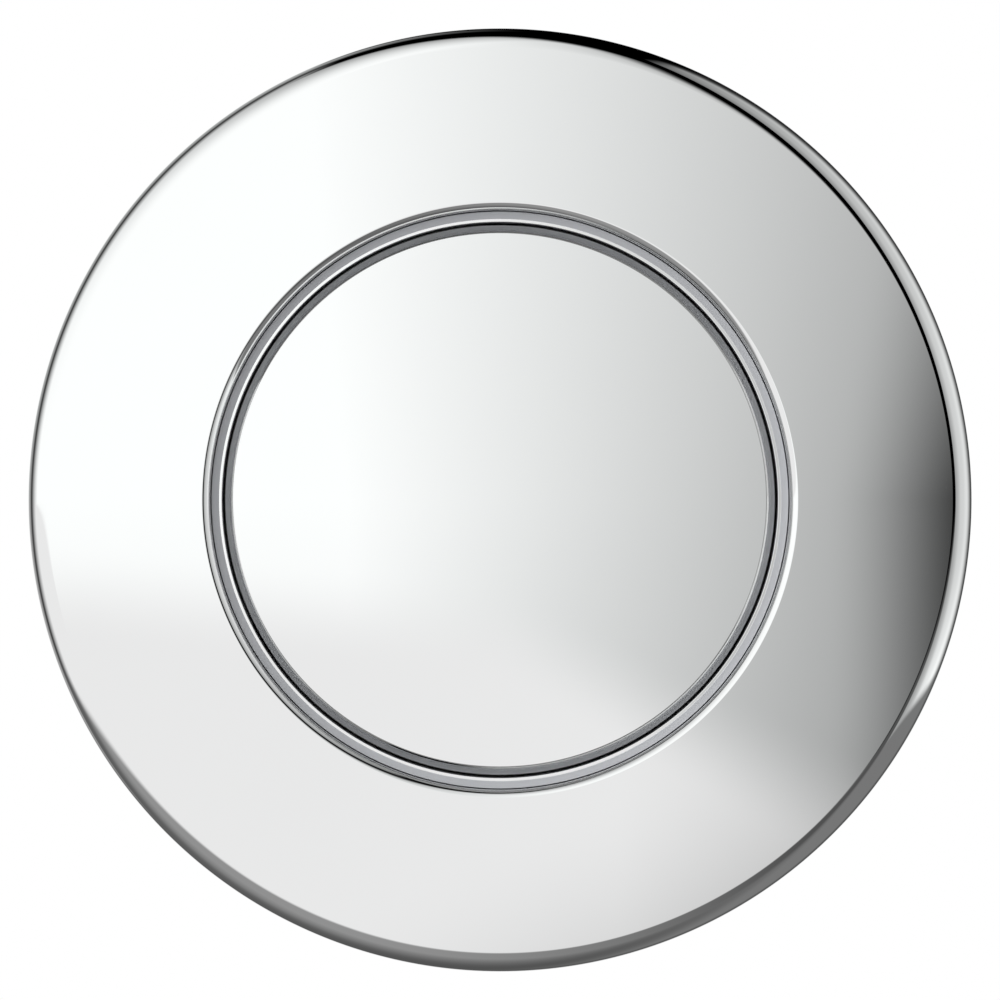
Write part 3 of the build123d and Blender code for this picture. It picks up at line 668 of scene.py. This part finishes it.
def make_cover_plate():
    """Chrome cover: a turned shell with rounded rim and opening, and ribs, bosses and lugs behind it."""
    foot = GASKET_THICKNESS
    shell = turned(rounded([
        (OPENING_R, COLLAR_BACK, COLLAR_EDGE), (COLLAR_R, COLLAR_BACK, COLLAR_EDGE),
        (COLLAR_R, UNDER_H, COLLAR_CORNER), (SKIRT_R, UNDER_H, SKIRT_CORNER),
        (SKIRT_R, foot, SKIRT_EDGE), (PLATE_R, foot, SKIRT_EDGE),
        (PLATE_R, FACE_H, RIM_ROUND), (OPENING_R, FACE_H, OPENING_ROUND),
    ]))
    skirt_end = SKIRT_R + DEEP_SINK
    rib = bar(COLLAR_R - DEEP_SINK, skirt_end, RIB_THICKNESS, COLLAR_BACK, UNDER_H + SINK)
    lug = bar(SKIRT_R - LUG_PROJECTION, skirt_end, LUG_WIDTH, LUG_LOW, LUG_HIGH)
    boss = tube(SCREW_HOLE_R, BOSS_R, RING_BACK, UNDER_H + SINK)
    islands = [shell]
    islands += at_angles(rib, evenly(RIB_COUNT, 180 / RIB_COUNT))
    islands += at_angles(lug, CORNER_ANGLES)
    islands += at_angles(boss, CORNER_ANGLES, BOSS_CIRCLE_R)
    return make_piece("cover_plate_shell", islands, PLATE, "plate", "chrome_polished", "cover_plate")


def make_design_ring():
    """Trim ring: flat land, face leaning towards the axis, flange under the collar of the plate."""
    land_r, land_h = RING_BORE_R + RING_LAND, ring_land_height()
    ring = turned(rounded([
        (RING_BORE_R, RING_BACK, RING_FLANGE_EDGE), (COLLAR_R, RING_BACK, RING_FLANGE_EDGE),
        (COLLAR_R, COLLAR_BACK, RING_FLANGE_EDGE), (RING_R, COLLAR_BACK),
        (RING_R, FACE_H - RING_DROP, RING_EDGE), (land_r, land_h, LAND_CORNER),
        (RING_BORE_R, land_h, LAND_EDGE),
    ]))
    return make_piece("design_ring_trim", [ring], RING, "plate", "chrome_satin", "design_ring")


def make_push_button():
    """Button cap: flat face, steep coned edge, stop lip with keys, and screw posts inside."""
    under = FACE_H - BUTTON_FACE
    wall_r = BUTTON_R - BUTTON_WALL
    cap = turned(rounded([
        (0, under), (wall_r, under, CAP_CORNER), (wall_r, LIP_BACK, LIP_EDGE),
        (LIP_R, LIP_BACK, LIP_EDGE), (LIP_R, LIP_TOP, LIP_EDGE), (BUTTON_R, LIP_TOP, LIP_EDGE),
        (BUTTON_R, FACE_H - EDGE_DEPTH, EDGE_FOOT_ROUND), (BUTTON_R - EDGE_WIDTH, FACE_H, EDGE_ROUND),
        (0, FACE_H),
    ]))
    key = bar(BUTTON_R - DEEP_SINK, LIP_R + KEY_PROJECTION, KEY_WIDTH, LIP_BACK, LIP_TOP)
    post = tube(SCREW_HOLE_R, POST_R, POST_BACK, under + SINK)
    islands = [cap]
    islands += at_angles(key, KEY_ANGLES)
    islands += at_angles(post, POST_ANGLES, POST_CIRCLE_R)
    return make_piece("push_button_cap", islands, BUTTON, "button", "chrome_polished", "push_button")


def make_pump_housing():
    """Stepped cup with crush ribs round it, and ribs, screw bosses and pin marks behind its floor."""
    step_under = CUP_STEP - CUP_WALL
    cup = turned(rounded([
        (OUTLET_HOLE_R, CUP_BACK), (PUMP_R, CUP_BACK, CUP_ROUND), (PUMP_R, step_under, CUP_STEP_CORNER),
        (CUP_R, step_under, CUP_ROUND), (CUP_R, CUP_FLANGE_LOW, CUP_FLANGE_CORNER),
        (CUP_FLANGE_R, CUP_FLANGE_LOW, CUP_FLANGE_EDGE), (CUP_FLANGE_R, CUP_TOP, CUP_FLANGE_EDGE),
        (CUP_BORE_R, CUP_TOP, CUP_BORE_EDGE), (CUP_BORE_R, CUP_STEP, CUP_BORE_EDGE),
        (PUMP_BORE_R, CUP_STEP, CUP_BORE_EDGE), (PUMP_BORE_R, CUP_FLOOR, CUP_FLOOR_CORNER),
        (OUTLET_HOLE_R, CUP_FLOOR),
    ]))
    rooted = CUP_BACK + DEEP_SINK
    rib_end, rib_low = PUMP_R - CUP_ROUND, CUP_BACK - FLOOR_RIB_HEIGHT
    crush_rib = peg(CRUSH_RIB_R, CUP_BACK + CUP_ROUND, step_under + SINK, CRUSH_RIB_EDGE)
    floor_rib = bar(FLOOR_RIB_START, rib_end, FLOOR_RIB_THICKNESS, rib_low, rooted, FLOOR_RIB_EDGE)
    boss = peg(CLAMP_BOSS_R, CUP_BACK - CLAMP_BOSS_LENGTH, rooted, CLAMP_BOSS_EDGE)
    pin_mark = peg(PIN_MARK_R, CUP_BACK - PIN_MARK_HEIGHT, rooted, PIN_MARK_EDGE)
    islands = [cup]
    islands += at_angles(crush_rib, evenly(CRUSH_RIB_COUNT), PUMP_R)
    islands += at_angles(floor_rib, evenly(FLOOR_RIB_COUNT))
    islands += at_angles(boss, KEY_ANGLES, CLAMP_SCREW_R)
    islands += at_angles(pin_mark, POST_ANGLES, PIN_MARK_CIRCLE_R)
    return make_piece("pump_housing_cup", islands, GREY_PLASTIC, "plate", "plastic_grey", "pump_housing")


def shorten_with_button(piece):
    """A piece that stands on the cup's floor gets its own copy of its mesh."""
    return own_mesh(piece)


def make_bellows():
    """Rubber bellows: the radius of its wall swings as a cosine of height between valley and crest.

    The inner wall is the outer one drawn in by the wall's thickness; both end in a closed top.
    """
    foot_top = CUP_FLOOR + BELLOWS_FOOT
    fold_top = PUSHER_BACK - BELLOWS_TOP
    height = np.linspace(foot_top, fold_top, BELLOWS_FOLDS * FOLD_STEPS + 1)
    swing = 0.5 - 0.5 * np.cos((height - foot_top) / (fold_top - foot_top) * BELLOWS_FOLDS * 2 * pi)
    fold_r = VALLEY_R + (CREST_R - VALLEY_R) * swing
    outer_wall = np.stack([fold_r, height], axis=-1)
    inner_wall = np.stack([fold_r - BELLOWS_WALL, height], axis=-1)[::-1]
    foot = [[VALLEY_R - BELLOWS_WALL, CUP_FLOOR], [BELLOWS_FOOT_R, CUP_FLOOR], [BELLOWS_FOOT_R, foot_top]]
    top = [[VALLEY_R, PUSHER_BACK], [0, PUSHER_BACK]]
    wall = turned(np.vstack([[[0, fold_top]], inner_wall, foot, outer_wall, top]), BELLOWS_SEGMENTS)
    piece = make_piece("bellows_folds", [wall], RUBBER, "plate", "rubber_black", "bellows")
    return shorten_with_button(piece)


def make_return_spring():
    """Coil spring: a round wire carried along a screw line between the cup's floor and the bellows' top."""
    wire_r = SPRING_WIRE / 2
    top = PUSHER_BACK - BELLOWS_TOP
    points, along = helix(SPRING_R, CUP_FLOOR + wire_r, top - wire_r, SPRING_TURNS, SPRING_STEPS)
    turn = full_turn(WIRE_SEGMENTS)
    section = np.stack([np.cos(turn), np.sin(turn)], axis=-1) * wire_r
    wire = swept(points, along, np.broadcast_to(section, (len(points), WIRE_SEGMENTS, 2)))
    piece = make_piece("return_spring_coil", [wire], SPRING, "plate", "spring_steel", "return_spring")
    return shorten_with_button(piece)


def make_hose_spigot():
    """Turned outlet: flange, threaded body and a spigot with barbs that rise slowly and drop sharply."""
    end = OUTLET_THREAD_END - SPIGOT_LENGTH
    root = OUTLET_R - OUTLET_THREAD_DEPTH
    valley = SPIGOT_R - BARB_DEPTH
    corners = [(AIR_BORE_R, end, TURNED_EDGE), (valley - SPIGOT_TIP_INSET, end, TURNED_EDGE)]
    for index in range(BARB_COUNT):
        crest_h = end + BARB_START + index * BARB_PITCH
        corners += [(SPIGOT_R, crest_h, BARB_EDGE), (valley, crest_h + BARB_DROP, BARB_EDGE)]
    thread_start = OUTLET_THREAD_END + OUTLET_CHAMFER
    flange_top = OUTLET_FLANGE_LOW + OUTLET_FLANGE
    corners += [
        (valley, crest_h + GROWTH_START, TURNED_EDGE), (SPIGOT_R, crest_h + GROWTH_END, TURNED_EDGE),
        (SPIGOT_R, OUTLET_THREAD_END, SPIGOT_CORNER), (root - OUTLET_CHAMFER, OUTLET_THREAD_END, TURNED_EDGE),
        (root, thread_start), (root, OUTLET_FLANGE_LOW), (OUTLET_FLANGE_R, OUTLET_FLANGE_LOW, TURNED_EDGE),
        (OUTLET_FLANGE_R, flange_top, OUTLET_FLANGE_ROUND), (AIR_BORE_R, flange_top, TURNED_EDGE),
    ]
    body = turned(rounded(corners), OUTLET_SEGMENTS)
    ridge = thread(root, OUTLET_R, thread_start, OUTLET_FLANGE_LOW - OUTLET_CHAMFER, OUTLET_PITCH)
    return make_piece("hose_spigot_barbed", [body, ridge], BRASS, "plate", "brass_turned", "hose_spigot")


def sink_cross(points, top):
    """Sinks a cross into a screw's dome: points of the dome inside either arm go down by its depth.

    Across the edges of the arms, over the width of the slope, the depth fades out.
    """
    across, up = np.abs(points[:, 0]), np.abs(points[:, 2])
    arm, half = WALL_HEAD_R * CROSS_ARM, WALL_HEAD_R * CROSS_HALF_WIDTH
    inside = np.maximum(np.minimum(half - across, arm - up), np.minimum(half - up, arm - across))
    depth = np.clip(inside / CROSS_SLOPE + 0.5, 0, 1) * WALL_HEAD_HEIGHT * CROSS_DEPTH
    on_dome = -points[:, 1] > top - WALL_DOME + GUARD
    sunk = points.copy()
    sunk[:, 1] += np.where(on_dome, depth, 0)
    return sunk


def make_wall_screws():
    """Two wood screws: a pointed core with a screw ridge, and a pan head with a cross.

    The head's height falls with the third power of radius from its middle to its rim.
    """
    core_r = WALL_NECK_R - WALL_CORE_STEP
    tip = -WALL_SCREW_LENGTH - WALL_SCREW_TIP
    top = FRAME_THICKNESS + WALL_HEAD_HEIGHT
    head_r = np.linspace(WALL_HEAD_R * DOME_START, DOME_END, DOME_STEPS)
    dome = np.stack([head_r, top - WALL_DOME * (head_r / WALL_HEAD_R) ** 3], axis=-1)
    shank = rounded([
        (0, tip), (core_r, tip + WALL_POINT, WALL_POINT_ROUND), (core_r, WALL_CORE_HIGH, TURNED_EDGE),
        (WALL_NECK_R, WALL_NECK_LOW, TURNED_EDGE), (WALL_NECK_R, FRAME_THICKNESS, TURNED_EDGE),
        (WALL_HEAD_R, FRAME_THICKNESS, WALL_HEAD_CORNER), (WALL_HEAD_R, top - WALL_DOME, TURNED_EDGE),
        (0, top),
    ])[:-1]
    points, faces = turned(np.vstack([shank, dome, [[0, top]]]), SCREW_SEGMENTS)
    screw = sink_cross(points, top), faces
    ridge = thread(core_r, WALL_SHANK_R, tip + WOOD_THREAD_START, WOOD_THREAD_END, WOOD_PITCH, WOOD_TAPER)
    islands = [moved(island, side * WALL_SCREW_X) for island in (screw, ridge) for side in (-1, 1)]
    return make_piece("wall_screws_threaded", islands, ZINC, "plate", "zinc_steel", "wall_screws")


def make_wall_gasket():
    """Foam ring, rounded where the rim of the plate presses it."""
    inner, outer = SKIRT_R - GASKET_INSET, PLATE_R - GASKET_INSET
    ring = turned(rounded([
        (inner, 0, GASKET_FOOT_EDGE), (outer, 0, GASKET_FOOT_EDGE),
        (outer, GASKET_THICKNESS, GASKET_TOP_EDGE), (inner, GASKET_THICKNESS, GASKET_TOP_EDGE),
    ]))
    return make_piece("wall_gasket_foam", [ring], FOAM, "plate", "foam_grey", "wall_gasket")


def finish_kept_nodes():
    """Gives the CAD nodes that stay as they are their finish."""
    finishes = {
        LIGHT_PLASTIC: ("mounting_frame",),
        GREY_PLASTIC: ("bellows_clamp_ring",),
        BLACK_PLASTIC: ("button_guide",),
        WHITE_PLASTIC: ("button_carrier", "bellows_pusher"),
        ZINC: ("guide_screws", "carrier_screws", "clamp_screws", "housing_screws", "push_rod", "rod_locknut"),
        SPRING: ("spring_clips",),
        BRASS: ("spigot_nut",),
        RUBBER: ("stop_cushion", "spigot_seal"),
    }
    for material, names in finishes.items():
        for name in names:
            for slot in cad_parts[name].material_slots:
                slot.material = material


def make_camera():
    """Looks along +Y at the middle of the face."""
    data = bpy.data.cameras.new("front_camera")
    data.lens = LENS
    data.sensor_width = SENSOR
    camera = bpy.data.objects.new("front_camera", data)
    camera.location = (0, -FACE_H * METRES - CAMERA_DISTANCE, 0)
    camera.rotation_euler = (pi / 2, 0, 0)
    scene.collection.objects.link(camera)
    scene.camera = camera


def make_floor():
    """Flat disc under the object, a fan of rings of growing radius."""
    across = np.linspace(0, FLOOR_R, FLOOR_RINGS + 1)[1:, None]
    turn = full_turn(FLOOR_SEGMENTS)
    points = grid_points(across * np.cos(turn), across * np.sin(turn), FLOOR_LEVEL).reshape(-1, 3)
    faces = turned_over(strip_faces(FLOOR_RINGS, FLOOR_SEGMENTS, False))
    faces += fan_faces(0, FLOOR_SEGMENTS, len(points))
    mesh = bpy.data.meshes.new("pale_floor")
    mesh.from_pydata(np.vstack([points, [[0, 0, FLOOR_LEVEL]]]), [], faces)
    mesh.materials.append(pale_floor())
    floor = bpy.data.objects.new("pale_floor", mesh)
    scene.collection.objects.link(floor)
    floor.visible_glossy = False


def make_lamp(name, place, power):
    """Square soft lamp that faces the object and isn't mirrored in the metal."""
    data = bpy.data.lights.new(name, "AREA")
    data.energy = power
    data.size = LAMP_SIZE
    lamp = bpy.data.objects.new(name, data)
    lamp.location = place
    lamp.rotation_mode = "QUATERNION"
    lamp.rotation_quaternion = lamp.location.to_track_quat("Z", "Y")
    lamp.visible_glossy = False
    lamp.visible_camera = False
    scene.collection.objects.link(lamp)


def bright_sheet(lean, climb, up):
    """Brightness of a sheet in front that fades to the right and, more slowly, upwards.

    Past its edge, which leans right at first and bends left further up, it is dark.
    """
    rising = climb.at_least(0)
    sheet = 0.83 - 4.2 * lean / (1 + 2.6 * rising)
    sheet = sheet.at_least(0).at_most(1) * (1 + 1.45 * climb.at_most(0).at_least(-0.12))
    sheet = sheet.at_most((1 - up.at_least(0) ** 2.0) ** 0.5)
    edge = rising.graph(
        (0, 0.11), (0.36, 0.205), (1.04, 0.277), (2.25, 0.0), (4.54, -1.216), (20, -9.4), shift=-10,
    )
    return sheet * (1 - ((lean - edge) / (0.0235 + 0.1 * rising)).smooth(-1, 1))


def grey_card(lean, climb):
    """Share and brightness of a grey card that stands low in front and slopes away to the right."""
    right_lean = lean.at_least(0)
    edge = -0.0345 - 0.0875 * lean.at_most(0).at_least(-0.12) - 0.53 * right_lean - climb
    share = (edge / (0.0135 + 0.06 * right_lean)).smooth(-1, 1)
    return share, 0.81 - 2.4 * (lean - 0.032).at_least(0)


def left_end(ahead):
    """Most that sheet and card show on the left: a dark line where they end, then what is behind them."""
    return ahead.graph(
        (-0.8, 0.42), (-0.57, 0.3), (-0.42, 0.1), (-0.34, 0.05), (-0.26, 0.04), (0, 0.41), (0.26, 0.78),
        (0.45, 1.0),
    )


def dark_floor(right, away, up):
    """Share and brightness of the floor, lightest near the card on the left and under the right panel."""
    down = (-1 * up).at_least(0.02)
    floor_right, floor_away = right / down, away / down
    share = (2.7 * right + away - 6 * up).smooth(-0.45, 0.4) * (-1 * up).smooth(0, 0.04)
    near_card = floor_away.graph((-1, 0.2), (-0.6, 0.16), (-0.3, 0.12), (0, 0.06), (0.3, 0.03))
    side = floor_right + 0.45 * (floor_away.at_least(-1.2) + 1.1)
    glow = (floor_away + 3.2 * floor_right).smooth(0.2, 2.0) * (1 - away.smooth(0.4, 0.75))
    return share, 0.08 + near_card * (1 - side.smooth(-0.4, 0.9)) + 0.1 * glow


def right_panel(right, away, up):
    """Share and brightness of a panel on the right, brightest beside the object and low down."""
    aside = right.at_least(0.02)
    depth, rise = away / aside, up / aside
    share = (depth - 0.45 * rise.at_least(0)).smooth(-2.58, -2.42) * right.smooth(0.02, 0.04)
    share = share * (rise - 0.075 * depth).smooth(-0.48, -0.4) * (1 - (rise + 0.2 * depth).smooth(2.3, 2.9))
    level = depth.graph(
        (-2.5, 0.33), (-1.73, 0.39), (-1.19, 0.5), (-0.84, 0.61), (-0.36, 0.65), (0, 0.75), (0.12, 0.7),
        (0.28, 0.58), (0.46, 0.37), (0.75, 0.14), (1.3, 0.03),
    )
    low_glow = rise.graph((-0.4, 0.28), (-0.1, 0.0)) * depth.smooth(-1.2, -0.5)
    upper_fade = rise.graph((0.3, 1.0), (0.577, 0.89), (1.0, 0.77), (1.73, 0.55), (2.6, 0.3))
    return share, level * (low_glow + upper_fade)


def brighter_behind(level, right, up, ahead):
    """Behind the object it is bright again, first at the top left, then low on the left, last all round."""
    back = ahead.graph((-0.98, 0.9), (-0.8, 0.42), (-0.57, 0.3), (-0.42, 0.1), (-0.3, 0.0))
    level = level.at_least(back * (0.35 * up - right).smooth(0.25, 0.6))
    low_left = 1 - (right + 0.5 * up).smooth(-0.3, 0.2)
    level = level.towards(0.9, low_left * ahead.graph((-0.95, 1.0), (-0.8, 0.0)))
    return level.towards(0.9, ahead.graph((-0.99, 1.0), (-0.88, 0.0)))


def studio_panels(direction):
    """Brightness that a mirror sees in each direction of the studio, and the share of the card in it.

    The parts of the direction are right, away from the camera and up; ahead counts towards the camera. Lean
    and climb are right and up on a plane in front of the object.
    """
    right, away, up = direction.parts()
    ahead = -1 * away
    in_front = ahead.at_least(0.05)
    lean, climb = right / in_front, up / in_front
    card, card_level = grey_card(lean, climb)
    level = bright_sheet(lean, climb, up).towards(card_level, card).at_most(left_end(ahead))
    floor, floor_level = dark_floor(right, away, up)
    level = level.towards(floor_level, floor)
    panel, panel_level = right_panel(right, away, up)
    level = level.towards(panel_level, panel)
    return brighter_behind(level, right, up, ahead) * CHROME_SHARE, card


def even_light(tree, strength):
    """White light of one strength from every side."""
    light = tree.nodes.new("ShaderNodeBackground")
    light.inputs["Color"].default_value = (*WHITE, 1)
    light.inputs["Strength"].default_value = strength
    return light


def mixed_light(tree, rays, others, these):
    """One light for these rays, another one for all others."""
    mix = tree.nodes.new("ShaderNodeMixShader")
    tree.links.new(rays, mix.inputs[0])
    tree.links.new(others.outputs[0], mix.inputs[1])
    tree.links.new(these.outputs[0], mix.inputs[2])
    return mix


def make_world():
    """White to the camera, the studio's panels to mirrors, and an even soft light to all else."""
    world = bpy.data.worlds.new("studio")
    scene.world = world
    world.use_nodes = True
    world.cycles.sampling_method = "NONE"
    tree = world.node_tree
    tree.nodes.clear()
    direction = Field(tree, tree.nodes.new("ShaderNodeTexCoord").outputs["Generated"])
    rays = tree.nodes.new("ShaderNodeLightPath").outputs
    level, card = studio_panels(direction)
    mirrored = tree.nodes.new("ShaderNodeBackground")
    tree.links.new(card.colours(COOL_WHITE, WHITE).socket, mirrored.inputs["Color"])
    tree.links.new(level.socket, mirrored.inputs["Strength"])
    light = mixed_light(tree, rays["Is Glossy Ray"], even_light(tree, EVEN_LIGHT), mirrored)
    light = mixed_light(tree, rays["Is Camera Ray"], light, even_light(tree, GROUND_LIGHT))
    output = tree.nodes.new("ShaderNodeOutputWorld")
    tree.links.new(light.outputs[0], output.inputs["Surface"])


make_camera()
make_cover_plate()
make_design_ring()
make_push_button()
make_pump_housing()
make_bellows()
make_return_spring()
make_hose_spigot()
make_wall_screws()
make_wall_gasket()
finish_kept_nodes()
make_floor()
for lamp_name, (lamp_place, lamp_power) in LAMPS.items():
    make_lamp(lamp_name, lamp_place, lamp_power)
make_world()
scene.view_settings.view_transform = "Standard"
